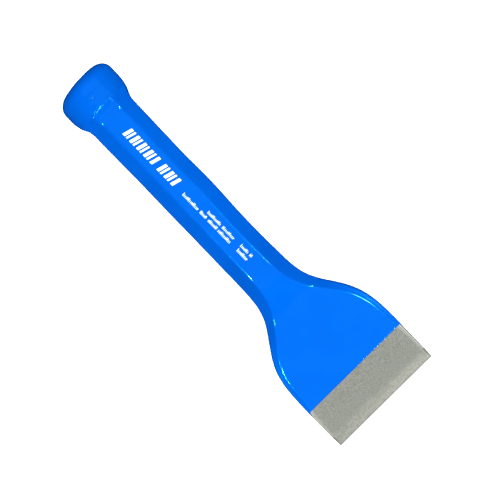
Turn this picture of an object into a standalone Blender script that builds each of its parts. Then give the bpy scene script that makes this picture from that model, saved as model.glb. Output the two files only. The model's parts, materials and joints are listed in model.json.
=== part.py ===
"""Mason's chisel: one drop-forged steel body, its enamel coat and the ink printed on it.

Every size is in metres. The forging is laid out along its own axis: x runs from the struck
end to the cutting edge, y runs across the blade and z is up. The parts hang from one empty,
which tips the tool onto the ground with the middle of its length over the origin.
"""

import math

import bmesh
import bpy

# Overall sizes. The coat and the bare blade end give the whole length.
OVERALL_LENGTH = 0.1905
COAT_GAP = 0.00015
COAT_FILM = 0.00015
COAT_OFFSET = COAT_GAP + COAT_FILM

# Struck head: a crowned face, a rounded rim and a barrel, turned round. Its face was forged a
# little out of square, so it leans, and the lean dies out along the neck.
HEAD_RADIUS = 0.01375
CROWN_RADIUS = 0.080
STRIKING_FLAT_RADIUS = 0.003
RIM_RADIUS = 0.0052
BARREL_X = 0.0090
HEAD_ROUNDNESS = 0.97
HEAD_LEAN = 0.075

# Shank: eight-sided bar, a little wider on its flats than a regular octagon.
SHANK_HALF_WIDTH = 0.0108
SHANK_CHAMFER = 0.0059
SHANK_EDGE_RADIUS = 0.0013
SHANK_START_X = 0.0215
SHANK_END_X = 0.1070

# Blade: forged out flat and wide, then ground at its end.
BLADE_HALF_WIDTH = 0.0279
PAINT_END_X = 0.1690
BEVEL_START_X = 0.1844
LAND_START_X = 0.1893
LAND_HALF_THICKNESS = 0.0008
EDGE_HALF_THICKNESS = 0.00035

# The tool lies on its head and on the end of its shank, with the blade clear of the ground.
REST_TILT = math.atan2(HEAD_RADIUS - SHANK_HALF_WIDTH, SHANK_END_X - BARREL_X)

# Shape curves of the bare forging, as (distance from the struck end, value).
NECK_RADIUS = (
    (BARREL_X, HEAD_RADIUS),
    (0.0130, 0.0133),
    (0.0170, 0.0119),
    (SHANK_START_X, SHANK_HALF_WIDTH),
)
HALF_WIDTH = (
    (SHANK_END_X, SHANK_HALF_WIDTH),
    (0.1150, 0.01115),
    (0.1205, 0.01175),
    (0.1260, 0.01335),
    (0.1310, 0.0160),
    (0.1362, 0.01945),
    (0.1414, 0.0227),
    (0.1466, 0.02515),
    (0.1518, 0.02665),
    (0.1575, 0.0274),
    (0.1640, 0.0278),
    (BEVEL_START_X, BLADE_HALF_WIDTH),
)
HALF_THICKNESS = (
    (SHANK_END_X, SHANK_HALF_WIDTH),
    (0.1140, 0.0099),
    (0.1220, 0.0077),
    (0.1300, 0.0054),
    (0.1380, 0.0039),
    (0.1480, 0.0032),
    (PAINT_END_X, 0.0026),
    (BEVEL_START_X, 0.0021),
)
CHAMFER = (
    (SHANK_END_X, SHANK_CHAMFER),
    (0.1220, 0.0044),
    (0.1320, 0.0026),
    (0.1440, 0.0019),
    (PAINT_END_X, 0.0016),
    (BEVEL_START_X, 0.0013),
)
EDGE_RADIUS = (
    (SHANK_END_X, SHANK_EDGE_RADIUS),
    (0.1320, 0.0009),
    (PAINT_END_X, 0.0006),
    (BEVEL_START_X, 0.0005),
)

# How finely the forging is divided.
SIDES = 8
CORNER_SEGMENTS = 4
RIM_SEGMENTS = 5
NECK_RINGS = 8
FLARE_RINGS = 20
EDGE_CORNER_SEGMENTS = 4

# Printed lines on the top flat, as (name, first x, last x, middle y, height).
INK_FILM = 0.0001
INK_CORNER_RADIUS = 0.0003
INK_CORNER_SEGMENTS = 3
INK_LINES = (
    ("print_name_mark", 0.0290, 0.0608, -0.0003, 0.0045),
    ("print_type_line", 0.0780, 0.0942, 0.0008, 0.0017),
    ("print_notice_line", 0.0652, 0.0944, -0.0015, 0.0020),
    ("print_origin_line_upper", 0.0982, 0.1054, 0.0011, 0.0016),
    ("print_origin_line_lower", 0.0985, 0.1046, -0.0012, 0.0018),
)

# Colours are linear red, green and blue.
ENAMEL_BLUE = (0.002, 0.164, 0.871, 1.0)
GROUND_STEEL = (0.309, 0.332, 0.296, 1.0)
INK_WHITE = (0.831, 0.855, 0.871, 1.0)


def clear_scene():
    """Remove every object that the opened file brought with it."""
    for item in list(bpy.data.objects):
        bpy.data.objects.remove(item, do_unlink=True)


def make_material(name, colour, roughness, metallic):
    """Return a Principled material."""
    material = bpy.data.materials.new(name)
    material.use_nodes = True
    shader = material.node_tree.nodes["Principled BSDF"]
    shader.inputs["Base Color"].default_value = colour
    shader.inputs["Roughness"].default_value = roughness
    shader.inputs["Metallic"].default_value = metallic
    material.diffuse_color = colour
    return material


def curve_value(points, x):
    """Read a smooth curve through (x, value) points, flat before its first and after its last."""
    if x <= points[0][0]:
        return points[0][1]
    if x >= points[-1][0]:
        return points[-1][1]
    slopes = [0.0]
    for before, after in zip(points[:-2], points[2:]):
        slopes.append((after[1] - before[1]) / (after[0] - before[0]))
    slopes.append(0.0)
    index = 0
    while x > points[index + 1][0]:
        index += 1
    start_x, start_value = points[index]
    end_x, end_value = points[index + 1]
    span = end_x - start_x
    t = (x - start_x) / span
    start_part = (2 * t**3 - 3 * t**2 + 1) * start_value
    start_slope_part = (t**3 - 2 * t**2 + t) * span * slopes[index]
    end_part = (3 * t**2 - 2 * t**3) * end_value
    end_slope_part = (t**3 - t**2) * span * slopes[index + 1]
    return start_part + start_slope_part + end_part + end_slope_part


def octagon_ring(x, half_width, half_thickness, chamfer, radius, offset):
    """Points of an eight-sided section with rounded edges, moved outwards by offset."""
    side = half_thickness - chamfer
    top = half_width - chamfer
    corners = (
        (half_width, side),
        (top, half_thickness),
        (-top, half_thickness),
        (-half_width, side),
        (-half_width, -side),
        (-top, -half_thickness),
        (top, -half_thickness),
        (half_width, -side),
    )
    turn = 2 * math.pi / SIDES
    ring = []
    for index, (corner_y, corner_z) in enumerate(corners):
        middle = (index + 0.5) * turn
        reach = radius / math.cos(turn / 2)
        centre_y = corner_y - reach * math.cos(middle)
        centre_z = corner_z - reach * math.sin(middle)
        for step in range(CORNER_SEGMENTS + 1):
            angle = middle + turn * (step / CORNER_SEGMENTS - 0.5)
            y = centre_y + (radius + offset) * math.cos(angle)
            z = centre_z + (radius + offset) * math.sin(angle)
            ring.append((x, y, z))
    return ring


def round_ring(x, circle_radius, roundness, offset):
    """Points of a section between a regular octagon, 0, and a full circle, 1."""
    chamfer = circle_radius * (1 - math.tan(math.pi / SIDES))
    radius = circle_radius * roundness
    return octagon_ring(x, circle_radius, circle_radius, chamfer, radius, offset)


def head_rings(offset):
    """Rings of the crowned face and its rounded rim, as far as the widest part of the head."""
    rim_centre_radius = HEAD_RADIUS - RIM_RADIUS
    flat_angle = math.asin(STRIKING_FLAT_RADIUS / CROWN_RADIUS)
    crown_centre_x = (CROWN_RADIUS + COAT_OFFSET) * math.cos(flat_angle)
    tilt = math.asin(rim_centre_radius / (CROWN_RADIUS - RIM_RADIUS))
    rim_centre_x = crown_centre_x - (CROWN_RADIUS - RIM_RADIUS) * math.cos(tilt)
    profile = []
    for share in (0.0, 0.5):
        angle = flat_angle + (tilt - flat_angle) * share
        x = crown_centre_x - (CROWN_RADIUS + offset) * math.cos(angle)
        profile.append((x, (CROWN_RADIUS + offset) * math.sin(angle)))
    for step in range(RIM_SEGMENTS + 1):
        angle = tilt + (math.pi / 2 - tilt) * step / RIM_SEGMENTS
        x = rim_centre_x - (RIM_RADIUS + offset) * math.cos(angle)
        profile.append((x, rim_centre_radius + (RIM_RADIUS + offset) * math.sin(angle)))
    return [round_ring(x, radius, HEAD_ROUNDNESS, 0.0) for x, radius in profile]


def neck_ring(x, offset):
    """Ring where the round head runs into the eight-sided shank."""
    share = (x - BARREL_X) / (SHANK_START_X - BARREL_X)
    blend = share * share * (3 - 2 * share)
    size = curve_value(NECK_RADIUS, x)
    round_chamfer = size * (1 - math.tan(math.pi / SIDES))
    chamfer = round_chamfer + (SHANK_CHAMFER - round_chamfer) * blend
    radius = HEAD_ROUNDNESS * size
    radius += (SHANK_EDGE_RADIUS - radius) * blend
    return octagon_ring(x, size, size, chamfer, radius, offset)


def forged_ring(x, offset):
    """Ring of the shank, the flare or the flat blade."""
    half_width = curve_value(HALF_WIDTH, x)
    half_thickness = curve_value(HALF_THICKNESS, x)
    chamfer = curve_value(CHAMFER, x)
    radius = curve_value(EDGE_RADIUS, x)
    return octagon_ring(x, half_width, half_thickness, chamfer, radius, offset)


def ground_ring(x, pull_in):
    """Ring of the ground bevel and the land behind the cutting edge, narrowed by pull_in."""
    share = (x - BEVEL_START_X) / (LAND_START_X - BEVEL_START_X)
    start_half_thickness = curve_value(HALF_THICKNESS, BEVEL_START_X)
    half_thickness = start_half_thickness
    half_thickness += (LAND_HALF_THICKNESS - start_half_thickness) * min(1.0, share)
    if x > LAND_START_X:
        share = (x - LAND_START_X) / (OVERALL_LENGTH - LAND_START_X)
        half_thickness += (EDGE_HALF_THICKNESS - LAND_HALF_THICKNESS) * share
    thinning = half_thickness / start_half_thickness
    chamfer = curve_value(CHAMFER, BEVEL_START_X) * thinning
    radius = curve_value(EDGE_RADIUS, BEVEL_START_X) * thinning
    return octagon_ring(x, BLADE_HALF_WIDTH - pull_in, half_thickness, chamfer, radius, 0.0)


def lean(ring):
    """Slope a ring of the head or neck out of square, less and less towards the shank."""
    slope = HEAD_LEAN * (1 - ring[0][0] / SHANK_START_X)
    return [(x - slope * y, y, z) for x, y, z in ring]


def painted_rings(offset):
    """Rings from the struck face to the end of the enamel."""
    rings = head_rings(offset)
    for step in range(NECK_RINGS + 1):
        x = BARREL_X + (SHANK_START_X - BARREL_X) * step / NECK_RINGS
        rings.append(neck_ring(x, offset))
    rings = [lean(ring) for ring in rings]
    for step in range(FLARE_RINGS + 1):
        x = SHANK_END_X + (PAINT_END_X - SHANK_END_X) * step / FLARE_RINGS
        rings.append(forged_ring(x, offset))
    return rings


def bare_rings():
    """Rings from the bare blade to the cutting edge, whose two corners are rounded."""
    land_length = OVERALL_LENGTH - LAND_START_X
    rings = [forged_ring(BEVEL_START_X, 0.0)]
    for step in range(EDGE_CORNER_SEGMENTS + 1):
        angle = math.pi / 2 * step / EDGE_CORNER_SEGMENTS
        x = LAND_START_X + land_length * math.sin(angle)
        rings.append(ground_ring(x, land_length * (1 - math.cos(angle))))
    return rings


def loft_object(name, rings, close_end, material, collection):
    """Skin a row of rings into one surface, closed at its start and, if asked, at its end."""
    body = bmesh.new()
    rows = [[body.verts.new(point) for point in ring] for ring in rings]
    count = len(rows[0])
    for row, next_row in zip(rows, rows[1:]):
        for index in range(count):
            after = (index + 1) % count
            body.faces.new((row[index], row[after], next_row[after], next_row[index]))
    body.faces.new(list(reversed(rows[0])))
    if close_end:
        body.faces.new(rows[-1])
    bmesh.ops.recalc_face_normals(body, faces=body.faces)
    mesh = bpy.data.meshes.new(name)
    body.to_mesh(mesh)
    body.free()
    mesh.materials.append(material)
    item = bpy.data.objects.new(name, mesh)
    collection.objects.link(item)
    mesh.polygons.foreach_set("use_smooth", [True] * len(mesh.polygons))
    return item


def make_forging(collection):
    """The whole forging in bare steel, from the struck face to the cutting edge."""
    steel = make_material("ground_steel", GROUND_STEEL, 0.42, 0.85)
    rings = painted_rings(0.0) + bare_rings()
    return loft_object("forged_steel_body", rings, True, steel, collection)


def make_enamel(collection):
    """The blue enamel, a thin shell that is open where the ground blade comes out of it."""
    enamel = make_material("blue_enamel", ENAMEL_BLUE, 0.25, 0.0)
    coat = loft_object("enamel_coat", painted_rings(COAT_OFFSET), False, enamel, collection)
    film = coat.modifiers.new("film", "SOLIDIFY")
    film.thickness = COAT_FILM
    film.offset = -1.0
    film.use_even_offset = True
    film.use_rim = True
    return coat


def make_ink_line(name, first_x, last_x, middle_y, height, ink, collection):
    """One printed line, as a thin film over the area that the print covers."""
    outline = bmesh.new()
    bmesh.ops.create_cube(outline, size=1.0)
    mesh = bpy.data.meshes.new(name)
    outline.to_mesh(mesh)
    outline.free()
    mesh.materials.append(ink)
    line = bpy.data.objects.new(name, mesh)
    collection.objects.link(line)
    top = SHANK_HALF_WIDTH + COAT_OFFSET + COAT_GAP + INK_FILM / 2
    line.location = ((first_x + last_x) / 2, middle_y, top)
    for vertex in mesh.vertices:
        vertex.co.x *= last_x - first_x
        vertex.co.y *= height
        vertex.co.z *= INK_FILM
    corners = line.modifiers.new("rounded_corners", "BEVEL")
    corners.width = INK_CORNER_RADIUS
    corners.segments = INK_CORNER_SEGMENTS
    corners.affect = "EDGES"
    corners.limit_method = "WEIGHT"
    weights = mesh.attributes.new("bevel_weight_edge", "FLOAT", "EDGE")
    for edge in mesh.edges:
        ends = [mesh.vertices[index].co for index in edge.vertices]
        upright = abs(ends[0].z - ends[1].z) > INK_FILM / 2
        weights.data[edge.index].value = 1.0 if upright else 0.0
    return line


def rest_on_ground(frame, parts):
    """Tip the tool onto its head and shank, and centre it over the origin."""
    frame.rotation_euler.y = REST_TILT
    bpy.context.view_layer.update()
    points = [part.matrix_world @ vertex.co for part in parts for vertex in part.data.vertices]
    lengthwise = [point.x for point in points]
    frame.location.x = -(min(lengthwise) + max(lengthwise)) / 2
    frame.location.z = -min(point.z for point in points)


def main():
    """Build the tool and set it on the ground."""
    clear_scene()
    collection = bpy.data.collections.new("masons_chisel")
    bpy.context.scene.collection.children.link(collection)
    frame = bpy.data.objects.new("forging_axis", None)
    collection.objects.link(frame)
    parts = [make_forging(collection), make_enamel(collection)]
    ink = make_material("white_ink", INK_WHITE, 0.45, 0.0)
    for name, first_x, last_x, middle_y, height in INK_LINES:
        parts.append(make_ink_line(name, first_x, last_x, middle_y, height, ink, collection))
    for part in parts:
        part.parent = frame
    rest_on_ground(frame, parts)


main()
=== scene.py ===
"""Looks of the mason's chisel: a finely modelled forging, its enamel, its print and a studio.

The CAD frame gives the place of the tool. Shapes are laid out in the tool's own space, in
millimetres: x runs along the forging from the struck face, y across the blade and z up.
Materials and the studio use the same directions, in metres.
"""

import json
import math

import bpy
from mathutils import Matrix, Vector, noise


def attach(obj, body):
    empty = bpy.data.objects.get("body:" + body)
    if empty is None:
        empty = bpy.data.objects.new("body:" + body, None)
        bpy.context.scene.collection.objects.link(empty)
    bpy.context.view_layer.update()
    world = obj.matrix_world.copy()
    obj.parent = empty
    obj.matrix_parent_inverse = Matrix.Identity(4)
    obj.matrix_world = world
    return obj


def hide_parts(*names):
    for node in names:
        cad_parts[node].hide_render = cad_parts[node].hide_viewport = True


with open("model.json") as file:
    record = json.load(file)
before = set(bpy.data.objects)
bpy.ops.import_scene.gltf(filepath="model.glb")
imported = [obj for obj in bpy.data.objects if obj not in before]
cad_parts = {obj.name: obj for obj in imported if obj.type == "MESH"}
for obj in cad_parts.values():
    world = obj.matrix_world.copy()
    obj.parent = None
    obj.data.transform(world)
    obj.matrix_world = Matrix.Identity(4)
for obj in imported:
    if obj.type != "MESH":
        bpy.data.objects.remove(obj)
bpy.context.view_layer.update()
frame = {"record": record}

MM = 0.001

# Lengths along the forging, in millimetres from the struck face.
LENGTH = 190.5
BARREL_X = 9.0
NECK_END_X = 22.0
SHANK_END_X = 107.0
PAINT_END_X = 169.0
SIDE_PAINT_RUN = 2.3
BEVEL_START_X = 184.4
LAND_START_X = 189.3

# The struck head, in millimetres.
CROWN_RADIUS = 80.3
RIM_RADIUS = 5.3
BARREL_RADIUS = 14.07
HEAD_LEAN = 0.075
FACET_BLEND = 0.16

# The shank, in millimetres over the enamel. Its thickness follows its width by a share,
# which fades out towards the flare.
NECK_END_HALF_WIDTH = 11.15
NECK_EDGE_RADIUS = 2.4
SHANK_HALF_THICKNESS = 11.1
SHANK_CHAMFER = 6.08
THICKNESS_SHARE = 0.3
THICKNESS_FADE_X = 90.0

# Raised, uneven bead on the upper side, where the facets run out into the barrel. The ranges
# are of height over distance from the axis: where a facet is a top one, and where the bead is.
LUMP_SIZE = 1.3
BEAD_HEIGHT = 0.36
BEAD_REACH = 0.26
BEAD_BASE = 0.5
TOP_FACET_RANGE = (0.30, 0.55)
BEAD_RANGE = (0.35, 0.65)

# Lumps along the edges of the top flat where the shank meets the flare.
RIDGE_START_X = 108.0
RIDGE_END_X = 124.0
RIDGE_FADE = 5.0
RIDGE_HEIGHT = 0.13
RIDGE_REACH = 0.55
RIDGE_BASE = 0.25

# The ground bevel and the land behind the cutting edge, in millimetres. The bevel starts off
# at a share of its full slope, and is full from another share of its length on.
LAND_HALF_THICKNESS = 0.8
EDGE_HALF_THICKNESS = 0.35
BEVEL_FIRST_SLOPE = 0.35
BEVEL_EASE = 0.4

# Section sizes over the enamel, in millimetres, as (distance from the struck face, value).
BARREL = ((BARREL_X, BARREL_RADIUS), (11.0, 14.0), (13.0, 13.9), (17.0, 13.8))
NECK_FACET = (
    (8.0, 14.5),
    (10.2, 14.12),
    (12.6, 13.78),
    (15.2, 13.05),
    (17.5, 11.85),
    (19.2, 11.35),
    (NECK_END_X, NECK_END_HALF_WIDTH),
)
NECK_TOP_FACET = (
    (12.4, 14.15),
    (14.2, 13.78),
    (16.0, 12.85),
    (18.4, 11.80),
    (NECK_END_X, NECK_END_HALF_WIDTH),
)
HALF_WIDTH = (
    (NECK_END_X, NECK_END_HALF_WIDTH),
    (30.0, 11.10),
    (52.0, 10.98),
    (67.0, 11.18),
    (90.0, 10.95),
    (112.0, 11.28),
    (116.5, 11.52),
    (121.0, 12.12),
    (126.0, 13.62),
    (131.0, 16.28),
    (136.2, 19.76),
    (141.4, 22.99),
    (146.6, 25.40),
    (151.8, 26.80),
    (157.0, 27.48),
    (164.0, 27.85),
    (BEVEL_START_X, 27.93),
)
HALF_THICKNESS = (
    (SHANK_END_X, SHANK_HALF_THICKNESS),
    (114.0, 10.2),
    (122.0, 8.0),
    (130.0, 5.7),
    (138.0, 4.6),
    (148.0, 3.7),
    (PAINT_END_X, 2.9),
    (BEVEL_START_X, 2.4),
)
CHAMFER = (
    (SHANK_END_X, SHANK_CHAMFER),
    (117.0, 5.6),
    (125.0, 4.9),
    (133.0, 4.1),
    (142.0, 3.0),
    (153.0, 2.4),
    (164.0, 2.1),
    (PAINT_END_X, 1.7),
    (BEVEL_START_X, 1.1),
)
EDGE_RADIUS = (
    (80.0, NECK_EDGE_RADIUS),
    (106.0, 2.0),
    (112.0, 1.3),
    (121.0, 1.3),
    (125.0, 1.5),
    (132.0, 2.0),
    (150.0, 1.8),
    (PAINT_END_X, 1.2),
    (BEVEL_START_X, 0.7),
)
# Height of a side facet over its width: 1 where it slopes at 45 degrees.
STEEPNESS = (
    (84.0, 1.0),
    (109.0, 1.32),
    (118.0, 1.22),
    (128.0, 1.0),
    (146.0, 0.65),
)
# Sideways shift of a section, in millimetres.
SWAY = (
    (NECK_END_X, 0.12),
    (52.0, 0.08),
    (67.0, 0.2),
    (92.0, -0.1),
    (113.0, 0.0),
    (134.0, 0.15),
    (147.0, -0.05),
    (164.0, 0.0),
)

# Small faults of the forging and grinding: slope of the cutting edge, and shift of the top die.
BLADE_SKEW = 0.0125
SKEW_START_X = 140.0
DIE_SHIFT = 0.22

# The steel lies inside the painted outline, and the ground part by a share of that.
STEEL_INSET = 0.12
GROUND_INSET_SHARE = 0.4
PAINT_FILM = 0.10

# Rings of the lofts, and the share of them that the steel under the enamel has.
CROWN_RINGS = 10
CROWN_CENTRE_PART = 12  # The first ring lies at one such part of the crown's half angle.
RIM_RINGS = 22
BARREL_RINGS = 6
NECK_RINGS = 52
SHANK_RINGS = 80
FLARE_RINGS = 124
BARE_RINGS = 30
BEVEL_RINGS = 12
LAND_RINGS = 8
HIDDEN_FINENESS = 0.25


def curve_value(points, x):
    """Read a smooth curve through (x, value) points, flat before its first and after its last."""
    if x <= points[0][0]:
        return points[0][1]
    if x >= points[-1][0]:
        return points[-1][1]
    slopes = [0.0]
    for before, after in zip(points[:-2], points[2:]):
        slopes.append((after[1] - before[1]) / (after[0] - before[0]))
    slopes.append(0.0)
    index = 0
    while x > points[index + 1][0]:
        index += 1
    start_x, start_value = points[index]
    end_x, end_value = points[index + 1]
    span = end_x - start_x
    t = (x - start_x) / span
    start_part = (2 * t**3 - 3 * t**2 + 1) * start_value
    start_slope_part = (t**3 - 2 * t**2 + t) * span * slopes[index]
    end_part = (3 * t**2 - 2 * t**3) * end_value
    end_slope_part = (t**3 - t**2) * span * slopes[index + 1]
    return start_part + start_slope_part + end_part + end_slope_part


def smooth_step(low, high, value):
    """Ease from 0 at low to 1 at high."""
    t = min(1.0, max(0.0, (value - low) / (high - low)))
    return t * t * (3 - 2 * t)


def smooth_min(first, second, blend):
    """The smaller of two values, with the corner where they cross rounded over blend."""
    share = max(blend - abs(first - second), 0.0) / blend
    return min(first, second) - share * share * blend / 4


def spaced(start, end, count):
    """Evenly spaced values from start up to, and not including, end."""
    return [start + (end - start) * step / count for step in range(count)]


# Section of the forging ----------------------------------------------------------------

CORNER_STEPS = 6
FLAT_STEPS = (5, 14, 5, 6, 5, 14, 5, 6)


def section(half_width, half_thickness, chamfer, radius, offset, steepness=1.0):
    """Points (y, z) of an eight-sided section with rounded edges, moved outwards by offset."""
    side = half_thickness - chamfer * steepness
    top = half_width - chamfer
    corners = (
        (half_width, side),
        (top, half_thickness),
        (-top, half_thickness),
        (-half_width, side),
        (-half_width, -side),
        (-top, -half_thickness),
        (top, -half_thickness),
        (half_width, -side),
    )
    turn = math.pi / 4
    arcs = []
    for index, (corner_y, corner_z) in enumerate(corners):
        middle = (index + 0.5) * turn
        reach = radius / math.cos(turn / 2)
        centre_y = corner_y - reach * math.cos(middle)
        centre_z = corner_z - reach * math.sin(middle)
        arc = []
        for step in range(CORNER_STEPS + 1):
            angle = middle + turn * (step / CORNER_STEPS - 0.5)
            y = centre_y + (radius + offset) * math.cos(angle)
            z = centre_z + (radius + offset) * math.sin(angle)
            arc.append((y, z))
        arcs.append(arc)
    ring = []
    for index, arc in enumerate(arcs):
        ring += arc
        start = arc[-1]
        end = arcs[(index + 1) % len(arcs)][0]
        steps = FLAT_STEPS[index]
        for step in range(1, steps):
            share = step / steps
            y = start[0] + (end[0] - start[0]) * share
            z = start[1] + (end[1] - start[1]) * share
            ring.append((y, z))
    return ring


def half_thickness_at(x):
    """Half the thickness of the shank, flare or blade at x, over the enamel."""
    if x >= SHANK_END_X:
        return curve_value(HALF_THICKNESS, x)
    widening = curve_value(HALF_WIDTH, x) - SHANK_HALF_THICKNESS
    fading = 1 - smooth_step(THICKNESS_FADE_X, SHANK_END_X, x)
    return SHANK_HALF_THICKNESS + widening * fading * THICKNESS_SHARE


def forged_section(x, offset):
    """Section of the shank, flare or blade at x, swayed a little as the die left it."""
    half_width = curve_value(HALF_WIDTH, x)
    half_thickness = half_thickness_at(x)
    chamfer = curve_value(CHAMFER, x)
    radius = curve_value(EDGE_RADIUS, x)
    sway = curve_value(SWAY, x)
    skew = BLADE_SKEW * smooth_step(SKEW_START_X, PAINT_END_X, x)
    steepness = curve_value(STEEPNESS, x)
    ring = section(half_width, half_thickness, chamfer, radius, offset, steepness)
    ridge_y = half_width - chamfer
    ridge = RIDGE_HEIGHT * smooth_step(RIDGE_START_X, RIDGE_START_X + RIDGE_FADE, x)
    ridge *= 1 - smooth_step(RIDGE_END_X - RIDGE_FADE, RIDGE_END_X, x)
    made = []
    for y, z in ring:
        if ridge > 0 and z > 0:
            lump = RIDGE_BASE + noise.noise(Vector((x, y, 0.0)) / LUMP_SIZE)
            z += ridge * lump * math.exp(-(((abs(y) - ridge_y) / RIDGE_REACH) ** 2))
        made.append((x - skew * y, y + sway - DIE_SHIFT * z / half_thickness, z))
    return made


def neck_section(x, offset):
    """Section where flared facets cut into the round barrel, and the barrel itself."""
    shank = [(y, z) for _, y, z in forged_section(NECK_END_X, 0.0)]
    side_growth = curve_value(NECK_FACET, x) / NECK_FACET[-1][1]
    top_growth = curve_value(NECK_TOP_FACET, x) / NECK_TOP_FACET[-1][1]
    barrel = curve_value(BARREL, x)
    ring = []
    for y, z in shank:
        reach = math.hypot(y, z)
        topness = smooth_step(*TOP_FACET_RANGE, abs(z) / reach)
        growth = side_growth + (top_growth - side_growth) * topness
        size = smooth_min(reach * growth, barrel, FACET_BLEND) + offset
        lump = BEAD_BASE + noise.noise(Vector((x, y, z)) / LUMP_SIZE)
        lump *= smooth_step(*BEAD_RANGE, z / reach)
        size += BEAD_HEIGHT * lump * math.exp(-(((reach * growth - barrel) / BEAD_REACH) ** 2))
        ring.append((x, y / reach * size, z / reach * size))
    return ring


def round_section(x, radius):
    """Round section whose points lie at about the same angles as the neck's."""
    neck_end = section(NECK_END_HALF_WIDTH, NECK_END_HALF_WIDTH, SHANK_CHAMFER, NECK_EDGE_RADIUS, 0.0)
    ring = []
    for y, z in neck_end:
        reach = math.hypot(y, z)
        ring.append((x, y / reach * radius, z / reach * radius))
    return ring


def crown_sections(offset):
    """Rings of the crowned face and its rounded rim."""
    rim_centre_radius = BARREL_RADIUS - RIM_RADIUS
    tilt = math.asin(rim_centre_radius / (CROWN_RADIUS - RIM_RADIUS))
    rim_centre_x = CROWN_RADIUS - (CROWN_RADIUS - RIM_RADIUS) * math.cos(tilt)
    rings = []
    for angle in spaced(tilt / CROWN_CENTRE_PART, tilt, CROWN_RINGS):
        crown = CROWN_RADIUS + offset
        rings.append(round_section(CROWN_RADIUS - crown * math.cos(angle), crown * math.sin(angle)))
    for angle in spaced(tilt, math.pi / 2, RIM_RINGS):
        x = rim_centre_x - (RIM_RADIUS + offset) * math.cos(angle)
        rings.append(round_section(x, rim_centre_radius + (RIM_RADIUS + offset) * math.sin(angle)))
    for x in spaced(rim_centre_x, BARREL_X, BARREL_RINGS):
        rings.append(round_section(x, BARREL_RADIUS + offset))
    return rings


def lean(ring):
    """Slope a ring of the head or neck out of square, less and less towards the shank."""
    slope = HEAD_LEAN * (1 - max(0.0, ring[0][0] / NECK_END_X) ** 2)
    return [(x - slope * y, y, z) for x, y, z in ring]


def painted_sections(offset, fineness):
    """Rings from the struck face to the end of the enamel."""
    rings = [lean(ring) for ring in crown_sections(offset)]
    for x in spaced(BARREL_X, NECK_END_X, round(NECK_RINGS * fineness)):
        rings.append(lean(neck_section(x, offset)))
    for x in spaced(NECK_END_X, SHANK_END_X, round(SHANK_RINGS * fineness)):
        rings.append(forged_section(x, offset))
    for x in spaced(SHANK_END_X, PAINT_END_X, round(FLARE_RINGS * fineness)):
        rings.append(forged_section(x, offset))
    rings.append(forged_section(PAINT_END_X, offset))
    return rings


def ground_section(x, pull_in):
    """Section of the ground bevel and of the land behind the cutting edge."""
    start = curve_value(HALF_THICKNESS, BEVEL_START_X)
    share = min(1.0, (x - BEVEL_START_X) / (LAND_START_X - BEVEL_START_X))
    slope = BEVEL_FIRST_SLOPE + (1 - BEVEL_FIRST_SLOPE) * smooth_step(0.0, BEVEL_EASE, share)
    half_thickness = start + (LAND_HALF_THICKNESS - start) * share * slope
    if x > LAND_START_X:
        narrowing = EDGE_HALF_THICKNESS - LAND_HALF_THICKNESS
        half_thickness += narrowing * (x - LAND_START_X) / (LENGTH - LAND_START_X)
    thinning = half_thickness / start
    chamfer = curve_value(CHAMFER, BEVEL_START_X) * thinning
    radius = curve_value(EDGE_RADIUS, BEVEL_START_X) * thinning
    half_width = curve_value(HALF_WIDTH, BEVEL_START_X) - pull_in
    ring = section(half_width, half_thickness, chamfer, radius, -STEEL_INSET * GROUND_INSET_SHARE)
    return [(x - BLADE_SKEW * y, y, z) for y, z in ring]


def bare_sections():
    """Rings of the bare steel from the paint line to the cutting edge."""
    rings = [forged_section(x, -STEEL_INSET) for x in spaced(PAINT_END_X, BEVEL_START_X, BARE_RINGS)]
    rings += [ground_section(x, 0.0) for x in spaced(BEVEL_START_X, LAND_START_X, BEVEL_RINGS)]
    land = LENGTH - LAND_START_X
    for angle in spaced(0.0, math.pi / 2, LAND_RINGS):
        rings.append(ground_section(LAND_START_X + land * math.sin(angle), land * (1 - math.cos(angle))))
    rings.append(ground_section(LENGTH, land))
    return rings


# Mesh building -------------------------------------------------------------------------


def tool_matrix():
    """Tool space to the frame, from the mounts on the struck face and under the shank."""
    mounts = {mount["name"]: mount for mount in frame["record"]["mounts"]}
    up = -Vector(mounts["shank_underside"]["axis"])
    across = Vector((0.0, 1.0, 0.0))
    along = across.cross(up).normalized()
    place = Matrix((along, across, up)).transposed().to_4x4()
    place.translation = Vector(mounts["striking_face"]["pos_m"])
    return place


TOOL = tool_matrix()


def relief(point, size, depth):
    """Slow swell of a forged surface at a point."""
    return depth * noise.noise(Vector(point) / size)


def add_piece(name, points, faces, material, nodes):
    """Make a piece from points in tool space, in millimetres, and tie it to the CAD body."""
    mesh = bpy.data.meshes.new(name)
    mesh.from_pydata([TOOL @ (Vector(point) * MM) for point in points], [], faces)
    mesh.materials.append(material)
    mesh.polygons.foreach_set("use_smooth", [True] * len(mesh.polygons))
    mesh.validate()
    piece = bpy.data.objects.new(name, mesh)
    bpy.context.scene.collection.objects.link(piece)
    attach(piece, "root")
    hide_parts(*nodes)
    return piece


def skin(rings, close_end):
    """Points and faces of a surface through the rings, closed at its start."""
    count = len(rings[0])
    points = [point for ring in rings for point in ring]
    faces = [tuple(reversed(range(count)))]
    for row in range(len(rings) - 1):
        for index in range(count):
            after = (index + 1) % count
            low = row * count
            high = low + count
            faces.append((low + index, low + after, high + after, high + index))
    if close_end:
        last = (len(rings) - 1) * count
        faces.append(tuple(range(last, last + count)))
    return points, faces


def swell(points, size, depth):
    """Push each point in or out across the tool's axis by a slow noise."""
    moved = []
    for x, y, z in points:
        reach = max(1e-6, math.hypot(y, z))
        push = relief((x, y, z), size, depth)
        moved.append((x, y + y / reach * push, z + z / reach * push))
    return moved


# Materials -----------------------------------------------------------------------------

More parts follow.
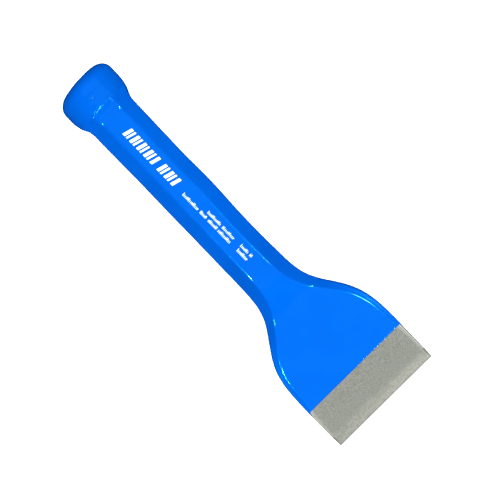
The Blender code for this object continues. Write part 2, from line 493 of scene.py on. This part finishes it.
FULL_RANGE = (0.0, 1.0)
ENAMEL_TONES = ((0.0, 0.054, 0.312, 1.0), (0.0, 0.060, 0.335, 1.0))
ENAMEL_GLINT_TINT = (0.0, 0.5, 1.0, 1.0)
STEEL_FLAT_TONES = ((0.082, 0.086, 0.074, 1.0), (0.182, 0.188, 0.162, 1.0))
STEEL_CLOUD = (0.135, 0.139, 0.124, 1.0)
STEEL_BEVEL_TONES = ((0.117, 0.12, 0.103, 1.0), (0.212, 0.215, 0.184, 1.0))
# Painted shade: a dark line painted where the bevel bends into the land; the steel has no groove there.
CREASE_SHADE_TONE = (0.07, 0.072, 0.068, 1.0)
# Painted highlight: the land's steel painted much brighter for the light its steeper slope catches.
LAND_HIGHLIGHT_TONE = (0.52, 0.53, 0.50, 1.0)
INK_TONES = ((0.50, 0.66, 0.76, 1.0), (0.68, 0.76, 0.81, 1.0))

# Where the bevel, the painted shade line at its bend into the land and the land's painted highlight start,
# as (from, to) in metres along the tool, and how far a cloud of scratches moves the start of the bevel.
BEVEL_EDGE = (0.1862, 0.1886)
CREASE_SHADE_EDGE = (0.18885, 0.18905)
LAND_HIGHLIGHT_EDGE = (0.18935, 0.18945)
BEVEL_RAGGEDNESS = 0.006


def new_material(name):
    """An empty node material with a Principled shader; returns (material, tree, shader)."""
    material = bpy.data.materials.new(name)
    material.use_nodes = True
    tree = material.node_tree
    return material, tree, tree.nodes["Principled BSDF"]


def add_node(tree, kind, **values):
    """Add a node, and set its properties and, for names of inputs, its input values."""
    made = tree.nodes.new(kind)
    for key, value in values.items():
        if hasattr(made, key):
            setattr(made, key, value)
        else:
            made.inputs[key.replace("_", " ")].default_value = value
    return made


def tool_coordinates(tree):
    """Shading coordinates in tool space, in metres."""
    place = add_node(tree, "ShaderNodeTexCoord")
    turned = add_node(tree, "ShaderNodeMapping", vector_type="TEXTURE")
    turned.inputs["Location"].default_value = TOOL.to_translation()
    turned.inputs["Rotation"].default_value = TOOL.to_euler()
    tree.links.new(place.outputs["Object"], turned.inputs["Vector"])
    return turned.outputs["Vector"]


def add_noise(tree, coordinates, scale, detail, roughness):
    """Noise in tool space; scale is in features per metre."""
    made = add_node(tree, "ShaderNodeTexNoise", Scale=scale, Detail=detail, Roughness=roughness)
    tree.links.new(coordinates, made.inputs["Vector"])
    return made.outputs["Fac"]


def add_range(tree, value, source, target):
    """Map a value from one (low, high) range to another, clamped."""
    made = add_node(tree, "ShaderNodeMapRange", clamp=True)
    tree.links.new(value, made.inputs["Value"])
    for name, number in zip(("From Min", "From Max", "To Min", "To Max"), source + target):
        made.inputs[name].default_value = number
    return made.outputs["Result"]


def add_mix(tree, factor, first, second):
    """Mix two colours, each a colour value or a socket."""
    made = add_node(tree, "ShaderNodeMix", data_type="RGBA")
    tree.links.new(factor, made.inputs["Factor"])
    for socket, colour in ((made.inputs[6], first), (made.inputs[7], second)):
        if isinstance(colour, tuple):
            socket.default_value = colour
        else:
            tree.links.new(colour, socket)
    return made.outputs[2]


def add_bump(tree, height, strength, distance, normal=None):
    """Bump from a height, on top of another bump if one is given."""
    made = add_node(tree, "ShaderNodeBump", Strength=strength, Distance=distance)
    tree.links.new(height, made.inputs["Height"])
    if normal is not None:
        tree.links.new(normal, made.inputs["Normal"])
    return made.outputs["Normal"]


def enamel_material():
    """Glossy blue enamel with orange peel and slight changes of depth."""
    material, tree, shader = new_material("blue_enamel")
    place = tool_coordinates(tree)
    cloud = add_noise(tree, place, 70.0, 3.0, 0.5)
    tone = add_mix(tree, add_range(tree, cloud, (0.3, 0.7), FULL_RANGE), *ENAMEL_TONES)
    tree.links.new(tone, shader.inputs["Base Color"])
    peel = add_noise(tree, place, 700.0, 2.0, 0.5)
    fine = add_noise(tree, place, 2600.0, 2.0, 0.5)
    tree.links.new(add_range(tree, fine, (0.3, 0.7), (0.10, 0.15)), shader.inputs["Roughness"])
    normal = add_bump(tree, peel, 0.32, 0.0002)
    normal = add_bump(tree, fine, 0.12, 0.00005, normal)
    tree.links.new(normal, shader.inputs["Normal"])
    tree.links.new(normal, shader.inputs["Coat Normal"])
    shader.inputs["Specular Tint"].default_value = ENAMEL_GLINT_TINT
    shader.inputs["Coat Weight"].default_value = 0.10
    shader.inputs["Coat Roughness"].default_value = 0.06
    return material


def steel_material():
    """Bare ground steel: mottled flats, a brighter scratched bevel, painted crease shade and land
    highlight.
    """
    material, tree, shader = new_material("ground_steel")
    place = tool_coordinates(tree)
    split = add_node(tree, "ShaderNodeSeparateXYZ")
    tree.links.new(place, split.inputs["Vector"])
    mottle = add_noise(tree, place, 1700.0, 4.0, 0.7)
    cloud = add_noise(tree, place, 260.0, 4.0, 0.6)
    streaks = add_node(tree, "ShaderNodeMapping")
    streaks.inputs["Scale"].default_value = (0.16, 1.0, 1.0)
    tree.links.new(place, streaks.inputs["Vector"])
    scratch = add_noise(tree, streaks.outputs["Vector"], 2200.0, 4.0, 0.65)
    ragged = add_node(tree, "ShaderNodeMath", operation="MULTIPLY_ADD")
    tree.links.new(cloud, ragged.inputs[0])
    ragged.inputs[1].default_value = BEVEL_RAGGEDNESS
    tree.links.new(split.outputs["X"], ragged.inputs[2])
    bevel = add_range(tree, ragged.outputs["Value"], BEVEL_EDGE, FULL_RANGE)
    flat = add_mix(tree, add_range(tree, mottle, (0.33, 0.67), FULL_RANGE), *STEEL_FLAT_TONES)
    flat = add_mix(tree, add_range(tree, cloud, (0.40, 0.68), (0.0, 0.6)), flat, STEEL_CLOUD)
    bright = add_mix(tree, add_range(tree, scratch, (0.33, 0.67), FULL_RANGE), *STEEL_BEVEL_TONES)
    colour = add_mix(tree, bevel, flat, bright)
    square = add_node(tree, "ShaderNodeMath", operation="MULTIPLY_ADD")
    tree.links.new(split.outputs["Y"], square.inputs[0])
    square.inputs[1].default_value = BLADE_SKEW
    tree.links.new(split.outputs["X"], square.inputs[2])
    # Painted shade: a dark line painted across the steel where the bevel bends into the land.
    crease_shade = add_range(tree, square.outputs["Value"], CREASE_SHADE_EDGE, (0.0, 0.8))
    colour = add_mix(tree, crease_shade, colour, CREASE_SHADE_TONE)
    # Painted highlight: the land painted bright for the light its steeper slope catches.
    land = add_range(tree, square.outputs["Value"], LAND_HIGHLIGHT_EDGE, FULL_RANGE)
    colour = add_mix(tree, land, colour, LAND_HIGHLIGHT_TONE)
    tree.links.new(colour, shader.inputs["Base Color"])
    tree.links.new(add_range(tree, mottle, (0.3, 0.7), (0.38, 0.55)), shader.inputs["Roughness"])
    normal = add_bump(tree, mottle, 0.3, 0.00005)
    normal = add_bump(tree, scratch, 0.35, 0.00004, normal)
    tree.links.new(normal, shader.inputs["Normal"])
    shader.inputs["Metallic"].default_value = 0.5
    return material


def ink_material():
    """White printed ink, a little uneven."""
    material, tree, shader = new_material("white_ink")
    place = tool_coordinates(tree)
    patch = add_noise(tree, place, 900.0, 3.0, 0.6)
    colour = add_mix(tree, add_range(tree, patch, (0.35, 0.7), FULL_RANGE), *INK_TONES)
    tree.links.new(colour, shader.inputs["Base Color"])
    tree.links.new(add_range(tree, patch, (0.3, 0.7), (0.4, 0.55)), shader.inputs["Roughness"])
    tree.links.new(add_bump(tree, patch, 0.2, 0.00003), shader.inputs["Normal"])
    return material


# The pieces ----------------------------------------------------------------------------

SWELL_SIZE = 11.0
SWELL_DEPTH = 0.05

# The last stretch of enamel, in which it runs further along both sides, and the distance
# from the middle over which it starts to.
RUN_LENGTH = 6.0
RUN_SIDE = (26.9, 28.0)


def make_enamel():
    """The enamel: a thin open shell whose end runs a little further along both sides."""
    rings = painted_sections(offset=0.0, fineness=1.0)
    points, faces = skin(rings, False)
    points = swell(points, SWELL_SIZE, SWELL_DEPTH)
    run_start = PAINT_END_X - RUN_LENGTH
    stretched = []
    for x, y, z in points:
        if x > run_start:
            share = (x - run_start) / (PAINT_END_X - run_start)
            x += SIDE_PAINT_RUN * share * smooth_step(*RUN_SIDE, abs(y))
        stretched.append((x, y, z))
    coat = add_piece("enamel_shell", stretched, faces, enamel_material(), ["enamel_coat"])
    film = coat.modifiers.new("film", "SOLIDIFY")
    film.thickness = PAINT_FILM * MM
    film.offset = -1.0


def make_steel():
    """The forging, coarse where the enamel hides it and fine where it is bare."""
    rings = painted_sections(-STEEL_INSET, HIDDEN_FINENESS)[:-1] + bare_sections()
    points, faces = skin(rings, True)
    points = swell(points, SWELL_SIZE, SWELL_DEPTH)
    add_piece("forging", points, faces, steel_material(), ["forged_steel_body"])


# Print -----------------------------------------------------------------------------------

INK_RISE = 0.03
INK_FILM = 0.03
TICK_PITCH = 0.66
TICK_WIDTH = 0.22
TICK_DROPS = (0.0, 0.3, 0.3, 0.05, 0.3)
CROSSED_BEATS = (1, 3)
CROSS_HEIGHT = 0.35
CROSS_END = 0.9
WIDE_STRIPE = 0.66
NARROW_STRIPE = 0.40
LAST_GAP = 0.34
MARK_LOW_Y = -1.9
MARK_HIGH_Y = 2.4
MARK_SLANT = 1.1


def top_height(x, y):
    """Height of the enamel on the top flat."""
    half_thickness = half_thickness_at(x)
    return half_thickness + relief((x, y, half_thickness), SWELL_SIZE, SWELL_DEPTH)


def bar(first_x, last_x, low_y, high_y, slant):
    """A slanted bar of ink as a thin closed plate: its points and faces."""
    outline = ((first_x, low_y), (last_x, low_y), (last_x + slant, high_y), (first_x + slant, high_y))
    bottom = [(x, y, top_height(x, y) + INK_RISE - INK_FILM) for x, y in outline]
    top = [(x, y, top_height(x, y) + INK_RISE) for x, y in outline]
    faces = [(3, 2, 1, 0), (4, 5, 6, 7)]
    for index in range(4):
        after = (index + 1) % 4
        faces.append((index, after, after + 4, index + 4))
    return bottom + top, faces


def make_print(name, bars, ink, node):
    """One printed line made of bars, in place of its CAD film."""
    points = []
    faces = []
    for outline in bars:
        bar_points, bar_faces = bar(*outline)
        start = len(points)
        points += bar_points
        faces += [tuple(start + index for index in face) for face in bar_faces]
    piece = add_piece(name, points, faces, ink, [node])
    piece.data.polygons.foreach_set("use_smooth", [False] * len(piece.data.polygons))


def stripes(first_x, last_x, low_y, high_y, count, slant):
    """Slanted stripes, wide and narrow by turns, that fill a stretch of the line."""
    pitch = (last_x - slant - first_x) / (count - LAST_GAP)
    made = []
    for index in range(count):
        start = first_x + pitch * index
        width = pitch * (NARROW_STRIPE if index % 2 else WIDE_STRIPE)
        made.append((start, start + width, low_y, high_y, slant))
    return made


def ticks(words, low_y, high_y):
    """Rows of thin upright and level strokes that spell nothing, one row for each word."""
    made = []
    height = high_y - low_y
    for word_index, (first_x, last_x) in enumerate(words):
        count = max(2, round((last_x - first_x) / TICK_PITCH))
        step = (last_x - first_x) / count
        for index in range(count):
            beat = (index * 7 + word_index * 3) % len(TICK_DROPS)
            start = first_x + step * index
            top = high_y - height * TICK_DROPS[beat]
            made.append((start, start + TICK_WIDTH, low_y, top, 0.0))
            if beat in CROSSED_BEATS:
                level = low_y + height * CROSS_HEIGHT
                made.append((start + TICK_WIDTH, start + step * CROSS_END, level, level + TICK_WIDTH, 0.0))
    return made


def make_prints():
    """The five printed areas, as stripes and ticks that spell nothing."""
    ink = ink_material()
    mark = stripes(28.9, 47.3, MARK_LOW_Y, MARK_HIGH_Y, 9, MARK_SLANT)
    mark += stripes(49.0, 59.5, MARK_LOW_Y, MARK_HIGH_Y, 5, MARK_SLANT)
    make_print("print_stripes", mark, ink, "print_name_mark")
    type_line = ticks(((76.5, 84.2), (85.2, 92.1)), 0.6, 2.0)
    make_print("print_ticks_type", type_line, ink, "print_type_line")
    notice = ticks(((64.0, 73.0), (74.2, 77.9), (79.1, 84.3), (85.0, 92.3)), -1.7, -0.2)
    make_print("print_ticks_notice", notice, ink, "print_notice_line")
    origin_upper = ticks(((96.0, 100.6), (101.4, 103.0)), 0.8, 2.2)
    make_print("print_ticks_origin_a", origin_upper, ink, "print_origin_line_upper")
    origin_lower = ticks(((96.3, 102.2),), -1.6, 0.0)
    make_print("print_ticks_origin_b", origin_lower, ink, "print_origin_line_lower")


# Studio ----------------------------------------------------------------------------------


FLOOR_SIZE = 60.0
FLOOR_DROP = 0.0002
FLOOR_GLOW = 0.45
SURROUND_COLOUR = (0.88, 0.95, 1.0, 1.0)
SURROUND_STRENGTH = 0.78


def make_floor():
    """A wide pale floor under the tool, which glows a little and isn't mirrored by the tool."""
    bpy.ops.mesh.primitive_plane_add(size=FLOOR_SIZE, location=(0.0, 0.0, -FLOOR_DROP))
    floor = bpy.context.object
    floor.name = "pale_floor"
    material, tree, shader = new_material("pale_floor")
    shader.inputs["Base Color"].default_value = (0.93, 0.93, 0.93, 1.0)
    shader.inputs["Roughness"].default_value = 0.9
    shader.inputs["Emission Color"].default_value = (1.0, 1.0, 1.0, 1.0)
    shader.inputs["Emission Strength"].default_value = FLOOR_GLOW
    shader.inputs["Specular IOR Level"].default_value = 0.1
    floor.data.materials.append(material)
    floor.visible_glossy = False
    floor.visible_diffuse = False


def add_softbox(name, direction, distance, size, power, mirrored=True):
    """A softbox that faces the middle of the tool; glossy surfaces mirror it unless told not to."""
    light = bpy.data.lights.new(name, "AREA")
    light.shape = "RECTANGLE"
    light.size, light.size_y = size
    light.energy = power
    lamp = bpy.data.objects.new(name, light)
    bpy.context.scene.collection.objects.link(lamp)
    away = Vector(direction).normalized()
    lamp.location = away * distance
    lamp.rotation_euler = away.to_track_quat("Z", "Y").to_euler()
    lamp.visible_glossy = mirrored


def make_lights():
    """A wide softbox overhead, fills that gloss doesn't mirror, small glint lamps and a surround."""
    add_softbox("key_softbox", (0.06, 0.24, 1.0), distance=1.2, size=(1.9, 1.9), power=5.7)
    add_softbox("edge_strip", (0.10, 1.0, 0.30), distance=1.3, size=(1.2, 0.30), power=5.5, mirrored=False)
    add_softbox("glint_low", (1.0, 0.10, 0.70), distance=1.2, size=(0.05, 0.05), power=3.2)
    add_softbox("head_fill", (-1.0, -0.25, 0.55), distance=1.3, size=(0.9, 0.9), power=4.0, mirrored=False)
    add_softbox("side_fill", (0.15, -1.0, 0.55), distance=1.3, size=(1.2, 0.6), power=3.0, mirrored=False)
    add_softbox("glint_left", (0.24, 0.8, 1.0), distance=1.2, size=(0.04, 0.04), power=15.0)
    add_softbox("glint_right", (0.24, -0.8, 1.0), distance=1.2, size=(0.04, 0.04), power=17.0)
    world = bpy.data.worlds.new("pale_studio")
    bpy.context.scene.world = world
    world.use_nodes = True
    background = world.node_tree.nodes["Background"]
    background.inputs["Color"].default_value = SURROUND_COLOUR
    background.inputs["Strength"].default_value = SURROUND_STRENGTH
    world.cycles_visibility.glossy = False


CAMERA_HEIGHT = 0.427
CAMERA_OVER = (66.0, 4.0)
CAMERA_AIM = (101.5, 2.8)
CAMERA_TURN = 46.2
CAMERA_FIELD = 28.17


def make_camera():
    """The camera looks down on the tool from over its head end, with the blade at lower right."""
    data = bpy.data.cameras.new("camera")
    camera = bpy.data.objects.new("camera", data)
    bpy.context.scene.collection.objects.link(camera)
    eye = TOOL @ Vector((CAMERA_OVER[0] * MM, CAMERA_OVER[1] * MM, CAMERA_HEIGHT))
    aim = TOOL @ Vector((CAMERA_AIM[0] * MM, CAMERA_AIM[1] * MM, 0.0))
    back = (eye - aim).normalized()
    turn = math.radians(CAMERA_TURN)
    along = TOOL.to_3x3() @ Vector((1.0, 0.0, 0.0))
    across = TOOL.to_3x3() @ Vector((0.0, 1.0, 0.0))
    up = across * math.cos(turn) - along * math.sin(turn)
    right = up.cross(back).normalized()
    up = back.cross(right)
    pose = Matrix((right, up, back)).transposed().to_4x4()
    pose.translation = eye
    camera.matrix_world = pose
    data.angle = math.radians(CAMERA_FIELD)
    data.clip_start = 0.01
    data.clip_end = 20.0
    bpy.context.scene.camera = camera


def main():
    """Build the pieces and the studio."""
    scene = bpy.context.scene
    scene.view_settings.view_transform = "Standard"
    make_enamel()
    make_steel()
    make_prints()
    make_floor()
    make_lights()
    make_camera()


main()
